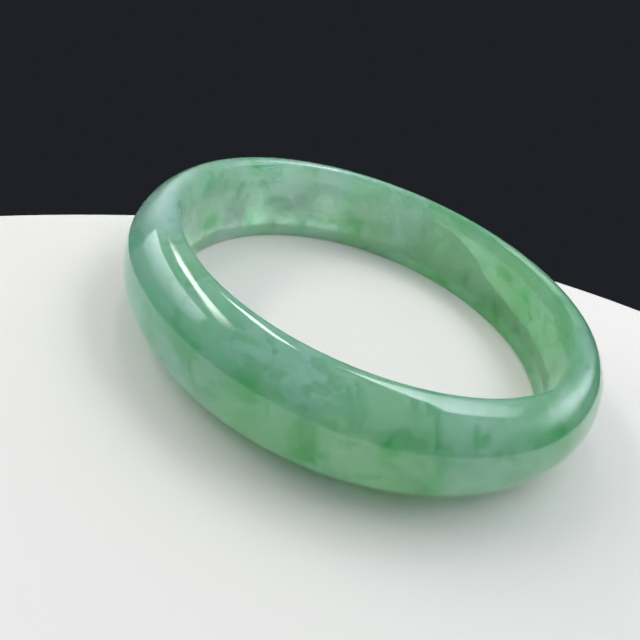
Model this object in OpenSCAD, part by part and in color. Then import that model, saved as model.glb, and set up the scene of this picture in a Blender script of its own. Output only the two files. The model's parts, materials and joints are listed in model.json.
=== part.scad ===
// Bangle bracelet: one closed ring ground and polished from a single piece of jadeite.
// The bore is a straight cylinder that slides over the hand.  Seen in section, the ring
// is a D: a flat inner wall, two small rounded edges, two shoulders and a domed crown.
// Millimetres.  The bangle lies flat, with its bore along +Z and its lowest ring of
// edge on Z = 0.

/* [Bore] */
// Diameter of the opening that the hand passes through
bore_d = 57; // [50:0.5:66]

/* [Ring section] */
// Width of the ring, measured along the bore
ring_w = 13.5; // [12.4:0.1:16]
// Thickness of the ring, from the bore to the crown of the dome
ring_t = 5.9; // [5.6:0.1:6.5]
// Radius of the rounded edges at the two ends of the bore
edge_r = 0.8; // [0.5:0.05:1.2]
// Radius of the shoulders, where the dome turns over towards the edges
shoulder_r = 3.45; // [3:0.05:4.2]

/* [Hidden] */

// Facets round the whole ring, and round one arc of its section
ring_facets = 180;
arc_facets = 72;

bore_r = bore_d / 2;
outer_r = bore_r + ring_t;
half_w = ring_w / 2;

// Centre of each edge arc: it touches the bore and the flat height of the ring.
edge_x = bore_r + edge_r;
edge_z = half_w - edge_r;

// Centre of each shoulder arc: it starts at the highest point of the edge arc.
shoulder_x = edge_x;
shoulder_z = half_w - shoulder_r;

// The crown arc passes through the widest point of the ring and is tangent to both
// shoulders, so its centre is crown_r - shoulder_r away from theirs.
dome_t = ring_t - edge_r;
crown_r = (pow(dome_t, 2) + pow(shoulder_z, 2) - pow(shoulder_r, 2)) / (2 * (dome_t - shoulder_r));
crown_x = outer_r - crown_r;

// Where crown and shoulder meet, on the line through their centres
join_angle = atan2(shoulder_z, shoulder_x - crown_x);
join_x = crown_x + crown_r * cos(join_angle);
join_z = crown_r * sin(join_angle);

// Lens that lies outside the chord between the two joins, bounded by the crown arc
module crown_section() {
    intersection() {
        translate([crown_x, 0])
            circle(r = crown_r, $fn = arc_facets);
        translate([join_x, -join_z])
            square([outer_r - join_x + 1, 2 * join_z]);
    }
}

// Quarter of a disc, in the quadrant that the two signs name
module quarter_disc(r, sign_x, sign_z) {
    intersection() {
        circle(r = r, $fn = arc_facets);
        translate([sign_x > 0 ? 0 : -r, sign_z > 0 ? 0 : -r])
            square(r);
    }
}

// Both arcs at one end of the bore: the small edge arc and the larger shoulder arc
module corner_section(side) {
    translate([edge_x, side * edge_z])
        quarter_disc(edge_r, -1, side);
    translate([shoulder_x, side * shoulder_z])
        quarter_disc(shoulder_r, 1, side);
}

// The straight-sided heart of the section, through the points where its arcs meet
module core_section() {
    polygon([
        [bore_r, -edge_z],
        [edge_x, -half_w],
        [shoulder_x, -shoulder_z],
        [join_x, -join_z],
        [join_x, join_z],
        [shoulder_x, shoulder_z],
        [edge_x, half_w],
        [bore_r, edge_z]
    ]);
}

module ring_section() {
    core_section();
    crown_section();
    for (side = [-1, 1]) corner_section(side);
}

// The ring itself: its section carried once round the bore
module jade_ring() {
    color("mediumaquamarine")
        translate([0, 0, half_w])
            rotate_extrude($fn = ring_facets)
                ring_section();
}

jade_ring();
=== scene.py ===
# %% [markdown]
# # A jadeite bangle, from its CAD frame to a polished stone
# The real object is one closed ring, cut and polished from a single piece of translucent
# green jadeite. It has no metal, no hinge and no clasp, so the whole lesson is about one
# smooth shape and one very careful material. The imported CAD model gives the place and the
# size of the ring. It is loaded first, as a frame that nothing here moves or resizes, and
# its box is read for the sizes.

# %% Load the frame
import json
import math

import bpy
import numpy as np
from mathutils import Matrix, Vector


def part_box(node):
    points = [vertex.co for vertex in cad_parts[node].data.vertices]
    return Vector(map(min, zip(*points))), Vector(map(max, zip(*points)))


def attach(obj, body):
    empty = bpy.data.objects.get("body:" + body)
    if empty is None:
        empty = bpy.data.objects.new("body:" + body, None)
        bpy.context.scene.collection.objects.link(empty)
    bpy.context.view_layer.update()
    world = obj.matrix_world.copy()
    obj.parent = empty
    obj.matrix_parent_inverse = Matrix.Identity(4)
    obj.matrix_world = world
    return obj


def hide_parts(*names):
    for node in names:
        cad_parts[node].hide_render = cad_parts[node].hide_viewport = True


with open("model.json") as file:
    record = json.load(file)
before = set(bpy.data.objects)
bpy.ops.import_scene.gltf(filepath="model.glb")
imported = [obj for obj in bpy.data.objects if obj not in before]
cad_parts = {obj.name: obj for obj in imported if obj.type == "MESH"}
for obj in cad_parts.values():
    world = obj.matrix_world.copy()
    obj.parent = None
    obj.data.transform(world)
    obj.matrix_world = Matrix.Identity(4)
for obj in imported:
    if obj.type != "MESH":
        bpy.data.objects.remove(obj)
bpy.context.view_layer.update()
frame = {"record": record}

# %% [markdown]
# ## The sizes a jade carver works to
# A bangle is sold by its bore, which is the opening that the hand passes through, and then
# by the width and the thickness of its band. They could be typed in again here, but then
# two files would have to agree. Reading them from the frame and from the mount in the
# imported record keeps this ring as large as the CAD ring. The CAD mesh is made of flats, so
# its box is a hair narrower one way than the other, and the smaller half is taken. Only the
# radius of the shoulder, where the dome starts to fall away, is given as a number.

# %% Read the sizes
MM = 0.001
SHOULDER_R = 3.45 * MM

low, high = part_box("jade_ring")
wrist_opening = next(m for m in frame["record"]["mounts"] if m["name"] == "wrist_opening")
BORE_R = wrist_opening["dims"]["r_mm"] * MM
OUTER_R = min(high.x, high.y)
WIDTH = high.z - low.z
MID_Z = (low.z + high.z) / 2
EDGE_R = (WIDTH - wrist_opening["dims"]["length_mm"] * MM) / 2
print(f"bore {2 * BORE_R / MM:.1f}, outside {2 * OUTER_R / MM:.1f}, width {WIDTH / MM:.1f} mm")
print(f"edge radius {EDGE_R / MM:.2f}, shoulder radius {SHOULDER_R / MM:.2f} mm")

# %% [markdown]
# ## The section: a D with soft corners
# Cut across, the ring is a D. The flat side is the bore wall. A small arc breaks each edge
# so that it doesn't scratch, a larger arc makes each shoulder, and one wide arc makes the
# crown. The outline could be drawn by hand as a curve, or a block could be rounded with a
# Bevel modifier. Arcs that are worked out are better here, because each one starts exactly
# in the direction in which the last one ended. A polished stone is a mirror, and a mirror
# shows the smallest kink in a profile as a broken highlight.

# %% Draw the section
ARC_POINTS = {"crown": 56, "shoulder": 14, "edge": 14, "wall": 28}


def section_arc(centre, radius, start, end, count):
    """Points of a circular arc: centre plus radius times (cosine, sine) of an angle that
    runs evenly from start to end, in degrees. The end point belongs to the next arc."""
    angle = np.radians(np.linspace(start, end, count, endpoint=False))
    return np.stack([centre[0] + radius * np.cos(angle), centre[1] + radius * np.sin(angle)], 1)


def ring_section():
    """Closed outline as (radius, height above the middle) pairs, counter-clockwise. The
    crown arc touches both shoulder arcs, so its centre lies on the line through theirs, and
    its radius follows from Pythagoras: (dome^2 + rise^2 - shoulder^2) / (2 (dome - shoulder))."""
    half = WIDTH / 2
    corner_r = BORE_R + EDGE_R
    dome = OUTER_R - corner_r
    rise = half - SHOULDER_R
    crown_r = (dome**2 + rise**2 - SHOULDER_R**2) / (2 * (dome - SHOULDER_R))
    crown_centre = OUTER_R - crown_r
    join = math.degrees(math.atan2(rise, corner_r - crown_centre))
    shoulder = ARC_POINTS["shoulder"]
    edge = ARC_POINTS["edge"]
    wall = np.linspace(half - EDGE_R, EDGE_R - half, ARC_POINTS["wall"], endpoint=False)
    return np.concatenate([
        section_arc((crown_centre, 0), crown_r, -join, join, ARC_POINTS["crown"]),
        section_arc((corner_r, rise), SHOULDER_R, join, 90, shoulder),
        section_arc((corner_r, half - EDGE_R), EDGE_R, 90, 180, edge),
        np.stack([np.full_like(wall, BORE_R), wall], 1),
        section_arc((corner_r, EDGE_R - half), EDGE_R, 180, 270, edge),
        section_arc((corner_r, -rise), SHOULDER_R, 270, 360 - join, shoulder),
    ])


section = ring_section()
print("section points:", len(section))

# %% [markdown]
# ## Carrying the section round the hand
# A carver drills the disc out of the boulder and then turns it against the wheel, so the
# ring is a true body of revolution. Blender's Spin tool or a Screw modifier would make the
# same shape. Here every point is worked out at once as one numpy grid: one direction of the
# grid runs along the section, and the other runs round the bore. Both directions close on
# themselves, so the mesh has no seam and no pole, and all its faces point outwards.

# %% Turn the ring
AZIMUTH_STEPS = 480


def ring_mesh(name, points):
    """Mesh of a grid of points that closes on itself both ways: point (i, j) is joined to
    its neighbours (i + 1, j) and (i, j + 1), counted round in both directions."""
    rows, columns = points.shape[:2]
    index = np.arange(rows * columns).reshape(rows, columns)
    beside = np.roll(index, -1, axis=1)
    quads = np.stack([index, np.roll(index, -1, axis=0), np.roll(beside, -1, axis=0), beside], 2)
    mesh = bpy.data.meshes.new(name)
    mesh.from_pydata(points.reshape(-1, 3), [], quads.reshape(-1, 4).tolist())
    mesh.polygons.foreach_set("use_smooth", np.ones(rows * columns, bool))
    mesh.update()
    return mesh


def polished_ring():
    """Turns the section round the bore: x = r cos a, y = r sin a, z = height + middle."""
    azimuth = np.radians(np.linspace(0, 360, AZIMUTH_STEPS, endpoint=False))[:, None]
    radius = section[None, :, 0]
    height = np.broadcast_to(section[None, :, 1] + MID_Z, (AZIMUTH_STEPS, len(section)))
    points = np.stack([radius * np.cos(azimuth), radius * np.sin(azimuth), height], 2)
    piece = bpy.data.objects.new("polished_ring", ring_mesh("polished_ring", points))
    bpy.context.scene.collection.objects.link(piece)
    return piece


ring = polished_ring()
print("ring triangles:", 2 * len(ring.data.polygons))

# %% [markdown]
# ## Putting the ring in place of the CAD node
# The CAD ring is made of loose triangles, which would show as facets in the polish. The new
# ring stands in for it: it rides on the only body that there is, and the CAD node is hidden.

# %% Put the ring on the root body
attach(ring, "root")
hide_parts("jade_ring")
print(ring.name, "replaces jade_ring and rides on root")

# %% [markdown]
# ## Small tools for building materials
# A material is a tree of nodes. Making each node and each link by hand takes many lines, so
# these helpers do it: one adds any node, and the others wrap the few kinds that the stone
# uses again and again. They return the output socket, so that they can be nested like sums.

# %% Node helpers
def node(tree, kind, links=None, **values):
    """Adds one node. Each of values sets the input of that name, with _ for a space, or else
    the node's own setting. Each of links joins another node's socket to an input."""
    made = tree.nodes.new(kind)
    for key, value in values.items():
        socket = made.inputs.get(key.replace("_", " "))
        if socket is None:
            setattr(made, key, value)
        else:
            socket.default_value = value
    for key, source in (links or {}).items():
        tree.links.new(source, made.inputs[key])
    return made


def ramp(tree, value, start, end):
    """Smooth step: 0 up to start, 1 from end, and between them 3 t^2 - 2 t^3, where t is
    the share of the way from start to end. With start above end it falls instead."""
    made = node(tree, "ShaderNodeMapRange", {"Value": value}, interpolation_type="SMOOTHSTEP")
    made.inputs["From Min"].default_value = start
    made.inputs["From Max"].default_value = end
    return made.outputs["Result"]


def maths(tree, operation, *inputs):
    """One Math node. Each input is a socket or a number."""
    made = node(tree, "ShaderNodeMath", operation=operation)
    for socket, value in zip(made.inputs, inputs):
        if isinstance(value, (int, float)):
            socket.default_value = value
        else:
            tree.links.new(value, socket)
    return made.outputs[0]


def tint(tree, amount, below, above):
    """Mixes two colours by amount. Each colour is a socket or three numbers."""
    made = node(tree, "ShaderNodeMix", {"Factor": amount}, data_type="RGBA")
    for socket, colour in ((made.inputs[6], below), (made.inputs[7], above)):
        if isinstance(colour, tuple):
            socket.default_value = (*colour, 1)
        else:
            tree.links.new(colour, socket)
    return made.outputs[2]


def cloud(tree, place, per_metre, detail):
    """Soft grey noise between 0 and 1, with about per_metre blobs in a metre."""
    made = node(tree, "ShaderNodeTexNoise", {"Vector": place}, Scale=per_metre, Detail=detail)
    return made.outputs["Fac"]


print("helpers: node, ramp, maths, tint and cloud")

# %% [markdown]
# ## The colours of the stone
# Jadeite is a felt of tiny crystals. Pure jadeite is milky white, and traces of chromium
# turn it green. In this ring the ground is a bluish mint. It turns to leaf green on one
# side, and small, soft clouds of deep green float in it. The milk colour is the stone's own
# in its white cotton. It is also laid over the left of the bore wall as painted light, which
# stands for the light that comes through the stone there.

# %% Colours
MINT = (0.50, 0.82, 0.62)
TEAL = (0.46, 0.78, 0.68)
LEAF = (0.44, 0.78, 0.48)
DEEP = (0.12, 0.54, 0.20)
# milk colour: the stone's own cotton, and also painted light on the left of the bore
MILK_AND_PAINTED_LIGHT = (0.70, 0.92, 0.76)
print("ground colours:", MINT, TEAL)

# %% [markdown]
# ## Where the colours gather
# Noise alone spreads its clouds evenly, but a real boulder doesn't. So a few soft balls say
# where a colour is more likely. Each one is given by its azimuth round the ring, its height
# above the table and its half-width in millimetres, and it sits on the bore wall or just
# under the dome. The small clouds only push the noise up, so that no ball shows as a round
# spot. The wide zones of leaf green and of pale milk are mixed in as they are, because
# their soft rims run over half the ring. The pale zones on the left of the bore are painted
# light: they make the stone paler and milkier there, and stand for the light that comes
# through it from the left.

# %% Place the gatherings
GREEN_CLOUDS = {
    "bore": [(175, 11, 3.5), (130, 1, 3.5), (115, 3, 2.5), (100, 11, 4), (50, 2, 6), (35, 7, 5)],
    "dome": [(235, 13, 3), (245, 8, 4), (260, 9, 3.5), (270, 8, 3), (285, 6, 4), (295, 4, 4),
             (300, 11, 3), (320, 11, 3)],
}
MILK_CLOUDS = {
    "bore": [(5, 6, 4), (45, 9, 2.5), (100, 7, 4), (135, 7, 6), (160, 4, 6)],
    "dome": [(270, 12, 4.5), (295, 8, 3.5), (300, 12, 4)],
}
LEAF_ZONES = {
    "bore": [(20, 6, 14), (45, 5, 19), (75, 3, 14), (105, 1, 10)],
    "dome": [(260, 3, 11), (285, 2, 9)],
}
# Painted light: these zones lighten the left of the bore wall, for the light that comes through the
# stone there.
THROUGH_LIGHT_ZONES = {"bore": [(110, 6, 14), (135, 7, 17), (170, 7, 19), (195, 8, 16)]}


def dome_radius(height):
    """Radius of the outer skin at a height: read off the section, between its points."""
    outer = section[section[:, 0] > BORE_R + EDGE_R]
    outer = outer[np.argsort(outer[:, 1])]
    return float(np.interp(height - MID_Z, outer[:, 1], outer[:, 0]))


def gathering(tree, place, clouds):
    """Highest of several soft balls. Each is 1 at its centre and 0 at its half-width, along
    the smooth step of the distance to the centre."""
    total = 0.0
    for side, balls in clouds.items():
        for azimuth, height, size in balls:
            radius = BORE_R if side == "bore" else dome_radius(height * MM)
            turn = math.radians(azimuth)
            centre = (radius * math.cos(turn), radius * math.sin(turn), height * MM)
            away = node(tree, "ShaderNodeVectorMath", {0: place}, operation="DISTANCE")
            away.inputs[1].default_value = centre
            ball = ramp(tree, away.outputs["Value"], size * MM, 0)
            total = maths(tree, "MAXIMUM", total, ball)
    return total


for side, balls in GREEN_CLOUDS.items():
    print("green clouds under the", side, "surface:", len(balls))

# %% [markdown]
# ## Torn space
# The stone was squeezed and sheared while it grew, so its clouds are ragged and not round.
# A cheap way to get that is to bend space before the noise is read: a first, coarse noise
# moves each point by a few millimetres, and the second noise is looked up at the moved
# point. One colour noise gives two patterns that don't repeat each other: its first channel
# makes the white cotton, and its second makes the deep green clouds. A finer noise makes
# the smallest specks.

# %% Patterns in the stone
SWIRL_PER_M = 200
SWIRL_REACH = 7 * MM
GRAIN_PER_M = 230
SPECKS_PER_M = 480
TEAL_PER_M = 45
DRIFT_PER_M = 90
PUSH = 0.20  # how far a gathering moves the noise up
EDGES = {  # noise at which each pattern starts, and at which it is full
    "cotton": (0.48, 0.80),
    "flecks": (0.50, 0.84),
    "specks": (0.57, 0.63),
    "teal": (0.35, 0.65),
    "drift": (0.40, 0.75),
}


def torn_space(tree, place):
    """Each point moved by up to half of SWIRL_REACH along a colour noise: p + reach (n - 1/2)."""
    swirl = node(tree, "ShaderNodeTexNoise", {"Vector": place}, Scale=SWIRL_PER_M, Detail=3)
    shift = node(tree, "ShaderNodeVectorMath", {0: swirl.outputs["Color"]}, operation="SUBTRACT")
    shift.inputs[1].default_value = (0.5, 0.5, 0.5)
    drift = node(tree, "ShaderNodeVectorMath", {0: shift.outputs[0]}, operation="SCALE",
                 Scale=SWIRL_REACH)
    moved = node(tree, "ShaderNodeVectorMath", {0: place, 1: drift.outputs[0]}, operation="ADD")
    return moved.outputs[0]


def stone_patterns(tree, place):
    """The named patterns of the stone, each 0 to 1, as a dictionary of sockets. A pattern is
    the smooth step, between its EDGES, of a noise plus PUSH times a gathering."""
    torn = torn_space(tree, place)
    grain = node(tree, "ShaderNodeTexNoise", {"Vector": torn}, Scale=GRAIN_PER_M, Detail=2)
    split = node(tree, "ShaderNodeSeparateColor", {"Color": grain.outputs["Color"]})
    milky = gathering(tree, place, MILK_CLOUDS)
    green = gathering(tree, place, GREEN_CLOUDS)
    cotton = maths(tree, "MULTIPLY_ADD", milky, PUSH, split.outputs[0])
    flecks = maths(tree, "MULTIPLY_ADD", green, PUSH, split.outputs[1])
    return {
        "cotton": ramp(tree, cotton, *EDGES["cotton"]),
        "flecks": ramp(tree, flecks, *EDGES["flecks"]),
        "specks": ramp(tree, cloud(tree, torn, SPECKS_PER_M, 2), *EDGES["specks"]),
        "teal": ramp(tree, cloud(tree, place, TEAL_PER_M, 3), *EDGES["teal"]),
        "drift": ramp(tree, cloud(tree, torn, DRIFT_PER_M, 3), *EDGES["drift"]),
        "leaf": gathering(tree, place, LEAF_ZONES),
        # painted light: this pattern marks the left of the bore, made paler to stand for light that
        # comes through
        "painted_through_light": gathering(tree, place, THROUGH_LIGHT_ZONES),
    }


print(f"clouds of about {1 / GRAIN_PER_M / MM:.1f} mm, specks of about {1 / SPECKS_PER_M / MM:.1f} mm")

# %% [markdown]
# ## The colour that the skin gives the light
# Light is tinted a little each time it passes the surface. The broad colours are mixed
# first and the small ones are laid over them, each only in part, because most of the colour
# of jade lies deeper down. A pattern at full strength would look painted on.

# %% Colour of the skin
LAYERS = (  # pattern, its colour and its strength, from the broadest to the smallest
    ("leaf", LEAF, 1.0),
    # painted light: this layer lays milk colour over the left of the bore, for light that comes
    # through the stone
    ("painted_through_light", MILK_AND_PAINTED_LIGHT, 0.45),
    ("drift", LEAF, 1.0),
    ("cotton", MILK_AND_PAINTED_LIGHT, 0.15),
    ("flecks", DEEP, 0.25),
    ("specks", DEEP, 0.5),
)


def skin_colour(tree, pattern):
    """Mint and teal mixed by the teal pattern, and then the layers in turn: each colour is
    mixed over the last result by its pattern times its strength."""
    colour = tint(tree, pattern["teal"], TEAL, MINT)
    for name, layer, strength in LAYERS:
        colour = tint(tree, maths(tree, "MULTIPLY", pattern[name], strength), colour, layer)
    return colour


print("layers over the mint and teal:", [name for name, layer, strength in LAYERS])

# %% [markdown]
# ## The hand polish
# A bangle is finished on a soft wheel, by hand. So its surface isn't optically perfect: it
# rises and falls by hundredths of a millimetre every few millimetres, which bends the edges
# of the highlights. On top of that, the hard and soft crystals wear differently and leave a
# very fine orange peel. Both are heights, so two Bump nodes carry them.

# %% Hand polish
WAVE_PER_M = 260
WAVE_HEIGHT = 0.03 * MM
PEEL_PER_M = 2600
PEEL_HEIGHT = 0.001 * MM


def hand_polish(tree, place):
    """Normal of the polished skin, tilted by the slope of two heights: the broad waves
    first, and the fine peel on top of them."""
    waves = node(tree, "ShaderNodeBump", {"Height": cloud(tree, place, WAVE_PER_M, 1)},
                 Strength=1.0, Distance=WAVE_HEIGHT)
    peel = node(tree, "ShaderNodeBump", {
        "Height": cloud(tree, place, PEEL_PER_M, 2),
        "Normal": waves.outputs["Normal"],
    }, Strength=1.0, Distance=PEEL_HEIGHT)
    return peel.outputs["Normal"]


print(f"waves {WAVE_HEIGHT / MM:.3f} mm high, peel {PEEL_HEIGHT / MM:.4f} mm high")

# %% [markdown]
# ## The body of the stone
# Jade glows because light goes into it, is scattered by the crystals and comes out green
# somewhere else. Subsurface scattering on the surface alone can't show what lies behind the
# stone, and plain glass has no milk in it. A volume does both. Volume Absorption takes out
# the red and some of the blue, and more of both in the deep green clouds. Volume Scatter is
# the milk, and it is thicker in the cotton and on the pale side. The pale side, on the left
# of the bore, also soaks up less light. It is painted light: a lighter stretch that stands
# for the light coming through the stone there. Densities are per metre,
# so a density of 200 sends light astray about once in every 5 mm.

# %% Volume
CLEAR_SOAK = 28
# the pale entry lowers the soak on the left of the bore: painted light for light coming through
SOAK = {"flecks": 520, "leaf": 75, "painted_through_light": -25}
CLEAR_MILK = 190
# the pale entry thickens the milk on the left of the bore, also as painted light
MILKINESS = {"cotton": 600, "painted_through_light": 320}
MINT_DEPTH = (0.48, 0.90, 0.68)
LEAF_DEPTH = (0.42, 0.88, 0.40)
CLOUD_DEPTH = (0.02, 0.80, 0.15)
MILK_TINT = (0.95, 1.0, 0.97, 1)
FORWARD = 0.3  # how far the crystals throw the light onwards, from 0 to 1


def density(tree, pattern, clear, shares):
    """Density of the clear stone plus each pattern times its share."""
    total = clear
    for name, share in shares.items():
        total = maths(tree, "MULTIPLY_ADD", pattern[name], share, total)
    return total


def stone_body(tree, pattern):
    """Volume of the stone: coloured absorption plus milky scattering."""
    depth = tint(tree, pattern["leaf"], MINT_DEPTH, LEAF_DEPTH)
    absorption = node(tree, "ShaderNodeVolumeAbsorption", {
        "Color": tint(tree, pattern["flecks"], depth, CLOUD_DEPTH),
        "Density": density(tree, pattern, CLEAR_SOAK, SOAK),
    })
    scatter = node(tree, "ShaderNodeVolumeScatter", {
        "Density": density(tree, pattern, CLEAR_MILK, MILKINESS),
    }, Color=MILK_TINT, Anisotropy=FORWARD)
    both = node(tree, "ShaderNodeAddShader", {0: absorption.outputs[0], 1: scatter.outputs[0]})
    return both.outputs[0]


print(f"mean free path in the clear stone: {1 / CLEAR_MILK / MM:.1f} mm")

# %% [markdown]
# ## Putting the jade together
# The surface is one Principled shader. Its refractive index of 1.66 is jadeite's own, and
# it is high enough to give the strong highlights and the bent line that runs through the
# front of the ring, where the eye starts to see the table through the stone. Most of the
# light is let in. A small share of the outer skin scatters it just below the polish
# instead, as the first layers of crystals do in the real stone. On the way out all light
# passes, so that share depends on Backfacing.

# %% Jade
SKIN_CLEARNESS = 0.86
JADEITE_IOR = 1.66
POLISH_ROUGHNESS = 0.06
SKIN_REACH = (0.5, 1.0, 0.7)  # how far red, green and blue travel, in shares of SKIN_DEPTH
SKIN_DEPTH = 3 * MM


def jade():
    """The whole stone: skin, polish and body, all reading Object coordinates."""
    material = bpy.data.materials.new("jade")
    material.use_nodes = True
    tree = material.node_tree
    tree.nodes.clear()
    place = node(tree, "ShaderNodeTexCoord").outputs["Object"]
    pattern = stone_patterns(tree, place)
    leaving = node(tree, "ShaderNodeNewGeometry").outputs["Backfacing"]
    clearness = node(tree, "ShaderNodeMapRange", {"Value": leaving})
    clearness.inputs["To Min"].default_value = SKIN_CLEARNESS
    skin = node(tree, "ShaderNodeBsdfPrincipled", {
        "Base Color": skin_colour(tree, pattern),
        "Transmission Weight": clearness.outputs["Result"],
        "Normal": hand_polish(tree, place),
    }, Roughness=POLISH_ROUGHNESS, IOR=JADEITE_IOR, Subsurface_Weight=1.0,
        Subsurface_Radius=SKIN_REACH, Subsurface_Scale=SKIN_DEPTH)
    node(tree, "ShaderNodeOutputMaterial", {
        "Surface": skin.outputs[0],
        "Volume": stone_body(tree, pattern),
    })
    return material


ring.data.materials.append(jade())
print("jade nodes:", len(ring.data.materials[0].node_tree.nodes))

# %% [markdown]
# ## The table
# The ring lies on a plain, pale, matt table top. Light comes up from it through the stone,
# so it matters more than a backdrop usually does. It is a round disc whose far edge ends
# close behind the ring, so that the upper rim stands out against the dark room.

# %% Table top
TABLE_R = 0.156
TABLE_CENTRE = (0.081, -0.093)
TABLE_STEPS = 256
TABLE_COLOUR = (0.71, 0.66, 0.60, 1)
TABLE_ROUGHNESS = 0.9


def table_top():
    """Flat disc: centre plus radius times (cosine, sine) of an even angle, at height 0."""
    angle = np.radians(np.linspace(0, 360, TABLE_STEPS, endpoint=False))
    points = np.stack([
        TABLE_CENTRE[0] + TABLE_R * np.cos(angle),
        TABLE_CENTRE[1] + TABLE_R * np.sin(angle),
        np.zeros(TABLE_STEPS),
    ], 1)
    mesh = bpy.data.meshes.new("table_top")
    mesh.from_pydata(points, [], [list(range(TABLE_STEPS))])
    top = bpy.data.objects.new("table_top", mesh)
    bpy.context.scene.collection.objects.link(top)
    return top


def matt_paint():
    """Plain paint with no shine."""
    material = bpy.data.materials.new("matt_paint")
    material.use_nodes = True
    paint = material.node_tree.nodes["Principled BSDF"]
    paint.inputs["Base Color"].default_value = TABLE_COLOUR
    paint.inputs["Roughness"].default_value = TABLE_ROUGHNESS
    paint.inputs["Specular IOR Level"].default_value = 0.0
    return material


table = table_top()
table.data.materials.append(matt_paint())
print(f"table radius {TABLE_R / MM:.0f} mm")

# %% [markdown]
# ## A softbox whose light fades
# A polished stone is mostly seen through what it reflects, so each lamp is shaped for its
# reflection. A plain area lamp reflects as a hard white card. Here the lamp's own nodes
# fade it at the rims, as the cloth of a real softbox does, and can dim it along its length
# and towards its lower side. The power of a lamp follows from how bright it looks: power =
# radiance * pi * area.

# %% Softbox
LAMP_DISTANCE = 0.5
COOL = (0.82, 0.90, 1.0)
NEUTRAL = (1.0, 1.0, 1.0)


def cloth(lamp, soft, fade, fall):
    """Brightness over the face of a lamp: the product of a smooth rim on all four sides, a
    straight slope along its length and a straight slope up its height. A fade below 0 dims
    the other end."""
    tree = lamp.node_tree
    spot = node(tree, "ShaderNodeNewGeometry").outputs["Parametric"]
    along = node(tree, "ShaderNodeSeparateXYZ", {0: spot}).outputs
    level = 1.0
    for side in (along["X"], along["Y"]):
        off_centre = maths(tree, "ABSOLUTE", maths(tree, "SUBTRACT", side, 0.5))
        level = maths(tree, "MULTIPLY", level, ramp(tree, off_centre, 0.5, 0.5 - 0.5 * soft))
    length_slope = maths(tree, "MULTIPLY_ADD", along["X"], -fade, min(1.0, 1.0 + fade))
    height_slope = maths(tree, "MULTIPLY_ADD", along["Y"], fall, 1.0 - fall)
    level = maths(tree, "MULTIPLY", level, length_slope)
    level = maths(tree, "MULTIPLY", level, height_slope)
    tree.links.new(level, tree.nodes["Emission"].inputs["Strength"])


def softbox(name, azimuth, elevation, spread, rise, radiance, colour=COOL, lean=0, soft=0.15,
            fade=0.0, fall=0.0):
    """A rectangular lamp on a sphere round the ring, facing it. spread and rise are the
    angles that it covers there, so its sides are 2 distance tan(angle / 2)."""
    lamp = bpy.data.lights.new(name, "AREA")
    lamp.shape = "RECTANGLE"
    lamp.size = 2 * LAMP_DISTANCE * math.tan(math.radians(spread / 2))
    lamp.size_y = 2 * LAMP_DISTANCE * math.tan(math.radians(rise / 2))
    lamp.energy = radiance * math.pi * lamp.size * lamp.size_y
    lamp.color = colour
    lamp.use_nodes = True
    cloth(lamp, soft, fade, fall)
    box = bpy.data.objects.new(name, lamp)
    bpy.context.scene.collection.objects.link(box)
    turn, lift = math.radians(azimuth), math.radians(elevation)
    way = Vector((math.cos(turn) * math.cos(lift), math.sin(turn) * math.cos(lift), math.sin(lift)))
    box.location = way * LAMP_DISTANCE + Vector((0, 0, MID_Z))
    aim = way.to_track_quat("Z", "Y").to_matrix() @ Matrix.Rotation(math.radians(lean), 3, "Z")
    box.rotation_euler = aim.to_euler()
    box.visible_camera = False
    print(f"{name}: {lamp.size * 100:.0f} by {lamp.size_y * 100:.0f} cm, {lamp.energy:.2f} W")
    return box


print(f"lamps hang {LAMP_DISTANCE * 100:.0f} cm from the ring")

# %% [markdown]
# ## The lamps
# The back panel hangs high behind the ring and makes the wedge of light on the front rim.
# Two narrow strips draw the thin streaks on the left of the front, and the left panel
# makes the soft band beside them. Two faint panels low at the back lift the ends of the
# ring. The last one is wide and low. It shines through the stone from behind and makes the
# far wall glow. Its reflection is turned off, because it stands for the bright room that
# is seen only through the stone.

# %% Light the ring
softbox("back_panel", azimuth=42, elevation=57, spread=52, rise=28, radiance=5.5,
        soft=0.12, fade=-0.2, fall=0.9)
softbox("side_strip", azimuth=123, elevation=56, spread=26, rise=7, radiance=7.0,
        colour=NEUTRAL, lean=81, soft=0.3)
softbox("left_strip", azimuth=174, elevation=42, spread=54, rise=11, radiance=7.0,
        colour=NEUTRAL, lean=12, soft=0.6)
softbox("left_panel", azimuth=182, elevation=17, spread=50, rise=21, radiance=3.0,
        lean=22, soft=0.12, fall=1.0)
softbox("far_panel", azimuth=138, elevation=14, spread=50, rise=40, radiance=0.9, soft=0.9)
softbox("right_panel", azimuth=32, elevation=22, spread=62, rise=32, radiance=2.0, soft=0.9)
glow = softbox("back_glow", azimuth=142, elevation=-4, spread=104, rise=62, radiance=2.0,
               colour=NEUTRAL, soft=0.6)
glow.visible_glossy = False

# %% [markdown]
# ## The room
# The room is dark at eye level and pale overhead. That gives soft, even light from above
# without a grey horizon behind the ring, and it puts a faint cool veil on the surfaces that
# face the ceiling. The height of the view direction drives the change.

# %% Dark room, pale ceiling
DARK = (0.010, 0.011, 0.014)
CEILING = (0.42, 0.47, 0.53)
CEILING_STARTS = 0.1  # sine of the elevation at which the dark wall ends
CEILING_FULL = 0.7

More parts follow.
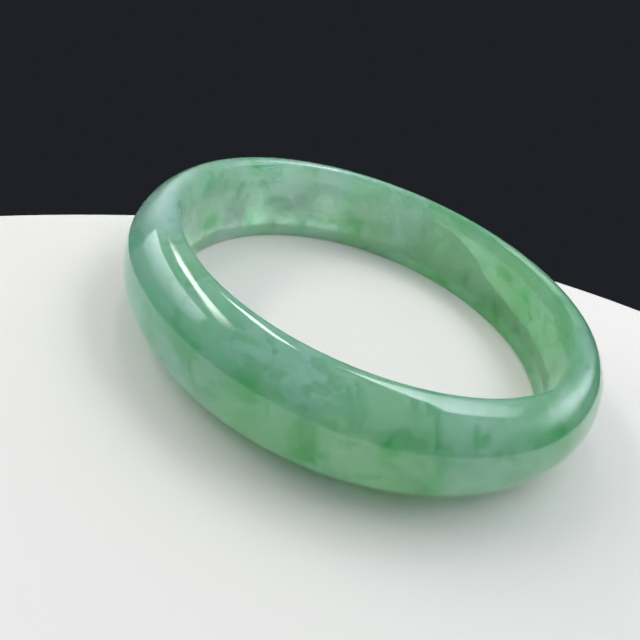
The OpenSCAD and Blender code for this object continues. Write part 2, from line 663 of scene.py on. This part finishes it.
room = bpy.data.worlds.new("room")
room.use_nodes = True
bpy.context.scene.world = room
sky = room.node_tree
up = node(sky, "ShaderNodeSeparateXYZ", {0: node(sky, "ShaderNodeTexCoord").outputs["Generated"]})
overhead = ramp(sky, up.outputs["Z"], CEILING_STARTS, CEILING_FULL)
sky.links.new(tint(sky, overhead, DARK, CEILING), sky.nodes["Background"].inputs["Color"])
print("ceiling radiance:", CEILING)

# %% [markdown]
# ## The camera
# It is a hand-held close-up: about 8 cm from the middle of the ring, looking down at 36
# degrees and rolled by 24 degrees, so that the ring sweeps down from left to right. A short
# distance makes the near side look large and heavy. The small shift only frames the ring.

# %% Camera
CAMERA_PLACE = Vector((3.1 * MM, -71.9 * MM, 36.9 * MM + MID_Z))
LOOK_DOWN = 35.6
ROLL = 23.9
LENS = 30.6
SENSOR = 36
SHIFT = (-0.071, 0.089)

eye = bpy.data.cameras.new("camera")
eye.sensor_width = SENSOR
eye.lens = LENS
eye.shift_x, eye.shift_y = SHIFT
eye.clip_start = MM
camera = bpy.data.objects.new("camera", eye)
bpy.context.scene.collection.objects.link(camera)
tilt = Matrix.Rotation(math.radians(90 - LOOK_DOWN), 4, "X")
roll = Matrix.Rotation(math.radians(ROLL), 4, "Z")
camera.matrix_world = Matrix.Translation(CAMERA_PLACE) @ tilt @ roll
bpy.context.scene.camera = camera
distance = (CAMERA_PLACE - Vector((0, 0, MID_Z))).length
print(f"camera {distance / MM:.0f} mm from the middle of the ring")

# %% [markdown]
# ## How light is followed through the stone
# A path through milky stone bends many times, so it needs more bounces than glass does. The
# step rate says how finely the clouds are sampled. The noise filter is given only the
# light itself: its usual guides show the first surface, and here they would draw jagged
# edges across patterns that lie inside the stone.

# %% Light paths and exposure
cycles = bpy.context.scene.cycles
cycles.max_bounces = 24
cycles.transmission_bounces = 16
cycles.volume_bounces = 10
cycles.volume_step_rate = 0.3
cycles.denoising_input_passes = "RGB"
bpy.context.scene.view_settings.view_transform = "Standard"
bpy.context.scene.view_settings.exposure = 0.45
print("volume bounces:", cycles.volume_bounces)
